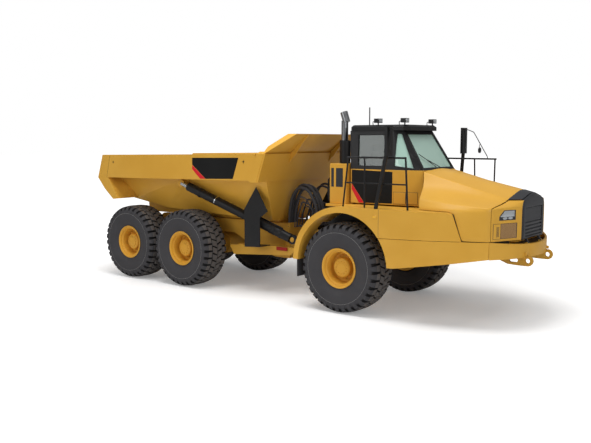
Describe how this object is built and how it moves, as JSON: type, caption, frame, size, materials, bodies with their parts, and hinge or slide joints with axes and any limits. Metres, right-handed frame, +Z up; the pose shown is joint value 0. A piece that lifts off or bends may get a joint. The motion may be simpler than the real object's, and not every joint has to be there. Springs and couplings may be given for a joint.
{
  "type": "articulated dump truck",
  "caption": "Articulated dump truck with a tractor and cab hinged to a rear frame, a tipping dump body on two hoists, and large off-road tyres",
  "frame": {"origin": "on the ground, under the middle of the bounding box", "axes": "+X forward, +Y the driver's left, +Z up"},
  "size_m": [11.3899, 3.52, 4.2798],
  "materials": {
    "yellow_paint": "semi-gloss yellow paint",
    "black_paint": "satin black paint",
    "wheel_paint": "semi-gloss orange-yellow paint",
    "red_paint": "red paint",
    "cast_iron": "painted casting",
    "chrome_rod": "polished hard chrome",
    "exhaust_chrome": "polished",
    "tyre": "moulded rubber",
    "rubber": "sheet rubber",
    "trim_plastic": "moulded trim",
    "glass": "tinted safety glass",
    "lamp_lens": "clear moulded lens"
  },
  "bodies": {
    "tractor": {"front_frame": "yellow_paint", "front_axle": "yellow_paint", "engine_block": "cast_iron", "platform": "black_paint", "fenders": "yellow_paint", "skirts": "yellow_paint", "bumper": "yellow_paint", "cab_base": "yellow_paint", "cab_frame": "black_paint", "cab_windows": "glass", "cab_roof": "black_paint", "cab_interior": "trim_plastic", "door_hinges": "black_paint", "cooling_pack": "yellow_paint", "exhaust_stack": "exhaust_chrome", "air_cleaner": "black_paint", "mudflaps": "rubber", "handrails": "black_paint", "mirrors": "black_paint", "work_lamps": "black_paint"},
    "hood": {"hood_shell": "yellow_paint", "nose_panel": "yellow_paint", "grille": "black_paint", "headlamps": "lamp_lens"},
    "door": {"cab_door": "yellow_paint", "door_glass": "glass"},
    "hitch": {"hitch": "yellow_paint"},
    "rear": {"rear_frame": "yellow_paint", "rear_axles": "yellow_paint", "walking_beams": "yellow_paint", "hoist_guards": "black_paint", "lock_bar": "red_paint", "tail_lamps": "lamp_lens"},
    "dump": {"dump_body": "yellow_paint"},
    "hoist_barrel_right": {"hoist_barrel_right": "black_paint"},
    "hoist_rod_right": {"hoist_rod_right": "chrome_rod"},
    "steer_barrel_right": {"steer_barrel_right": "yellow_paint"},
    "steer_rod_right": {"steer_rod_right": "chrome_rod"},
    "wheel_front_right": {"tyre_front_right": "tyre", "rim_front_right": "wheel_paint"},
    "wheel_mid_right": {"tyre_mid_right": "tyre", "rim_mid_right": "wheel_paint"},
    "wheel_rear_right": {"tyre_rear_right": "tyre", "rim_rear_right": "wheel_paint"},
    "hoist_barrel_left": {"hoist_barrel_left": "black_paint"},
    "hoist_rod_left": {"hoist_rod_left": "chrome_rod"},
    "steer_barrel_left": {"steer_barrel_left": "yellow_paint"},
    "steer_rod_left": {"steer_rod_left": "chrome_rod"},
    "wheel_front_left": {"tyre_front_left": "tyre", "rim_front_left": "wheel_paint"},
    "wheel_mid_left": {"tyre_mid_left": "tyre", "rim_mid_left": "wheel_paint"},
    "wheel_rear_left": {"tyre_rear_left": "tyre", "rim_rear_left": "wheel_paint"}
  },
  "joints": [
    {"name": "wheel_front_right_spin", "type": "hinge", "parent": "tractor", "child": "wheel_front_right", "pos_m": [2.055, -1.345, 0.9375], "axis": [0, 1, 0], "continuous": true},
    {"name": "wheel_front_left_spin", "type": "hinge", "parent": "tractor", "child": "wheel_front_left", "pos_m": [2.055, 1.345, 0.9375], "axis": [0, 1, 0], "continuous": true},
    {"name": "wheel_mid_right_spin", "type": "hinge", "parent": "rear", "child": "wheel_mid_right", "pos_m": [-2.602, -1.345, 0.9375], "axis": [0, 1, 0], "continuous": true},
    {"name": "wheel_mid_left_spin", "type": "hinge", "parent": "rear", "child": "wheel_mid_left", "pos_m": [-2.602, 1.345, 0.9375], "axis": [0, 1, 0], "continuous": true},
    {"name": "wheel_rear_right_spin", "type": "hinge", "parent": "rear", "child": "wheel_rear_right", "pos_m": [-4.545, -1.345, 0.9375], "axis": [0, 1, 0], "continuous": true},
    {"name": "wheel_rear_left_spin", "type": "hinge", "parent": "rear", "child": "wheel_rear_left", "pos_m": [-4.545, 1.345, 0.9375], "axis": [0, 1, 0], "continuous": true},
    {"name": "hood_tilt", "type": "hinge", "parent": "tractor", "child": "hood", "pos_m": [5.495, 0, 1.6], "axis": [0, 1, 0], "range_deg": [0, 60]},
    {"name": "door_swing", "type": "hinge", "parent": "tractor", "child": "door", "pos_m": [1.84, 0.878, 2.5], "axis": [0, 0, 1], "range_deg": [0, 80]},
    {"name": "steer_yaw", "type": "hinge", "parent": "tractor", "child": "hitch", "pos_m": [0.455, 0, 1.07], "axis": [0, 0, 1], "range_deg": [-45, 45]},
    {"name": "frame_roll", "type": "hinge", "parent": "hitch", "child": "rear", "pos_m": [-0.045, 0, 1.07], "axis": [1, 0, 0], "range_deg": [-12, 12]},
    {"name": "dump_tip", "type": "hinge", "parent": "rear", "child": "dump", "pos_m": [-4.895, 0, 1.6], "axis": [0, -1, 0], "range_deg": [0, 70]},
    {"name": "hoist_swing_right", "type": "hinge", "parent": "rear", "child": "hoist_barrel_right", "pos_m": [0.335, -0.98, 1.325], "axis": [-0.3008, 0.8197, -0.4875], "range_deg": [0, 5.8]},
    {"name": "hoist_slide_right", "type": "slide", "parent": "hoist_barrel_right", "child": "hoist_rod_right", "axis": [-0.9268, -0.1307, 0.352], "range_m": [0, 2.59738]},
    {"name": "steer_swing_right", "type": "hinge", "parent": "tractor", "child": "steer_barrel_right", "pos_m": [1.655, -0.395, 1.07], "axis": [0, 0, 1], "range_deg": [-2.79, 2.79]},
    {"name": "steer_slide_right", "type": "slide", "parent": "steer_barrel_right", "child": "steer_rod_right", "axis": [-1, 0, 0], "range_m": [-0.286, 0.286]},
    {"name": "hoist_swing_left", "type": "hinge", "parent": "rear", "child": "hoist_barrel_left", "pos_m": [0.335, 0.98, 1.325], "axis": [0.3008, 0.8197, 0.4875], "range_deg": [0, 5.8]},
    {"name": "hoist_slide_left", "type": "slide", "parent": "hoist_barrel_left", "child": "hoist_rod_left", "axis": [-0.9268, 0.1307, 0.352], "range_m": [0, 2.59738]},
    {"name": "steer_swing_left", "type": "hinge", "parent": "tractor", "child": "steer_barrel_left", "pos_m": [1.655, 0.395, 1.07], "axis": [0, 0, 1], "range_deg": [-2.79, 2.79]},
    {"name": "steer_slide_left", "type": "slide", "parent": "steer_barrel_left", "child": "steer_rod_left", "axis": [-1, 0, 0], "range_m": [-0.286, 0.286]}
  ],
  "couplings": [
    {"joint": "hoist_swing_right", "follows": "dump_tip", "ratio": 0.082696},
    {"joint": "hoist_slide_right", "follows": "dump_tip", "m_per_rad": 2.1256},
    {"joint": "steer_swing_right", "follows": "steer_yaw", "ratio": 0.061661},
    {"joint": "steer_slide_right", "follows": "steer_yaw", "m_per_rad": -0.36347},
    {"joint": "hoist_swing_left", "follows": "dump_tip", "ratio": 0.082696},
    {"joint": "hoist_slide_left", "follows": "dump_tip", "m_per_rad": 2.1256},
    {"joint": "steer_swing_left", "follows": "steer_yaw", "ratio": 0.061661},
    {"joint": "steer_slide_left", "follows": "steer_yaw", "m_per_rad": 0.36347}
  ]
}
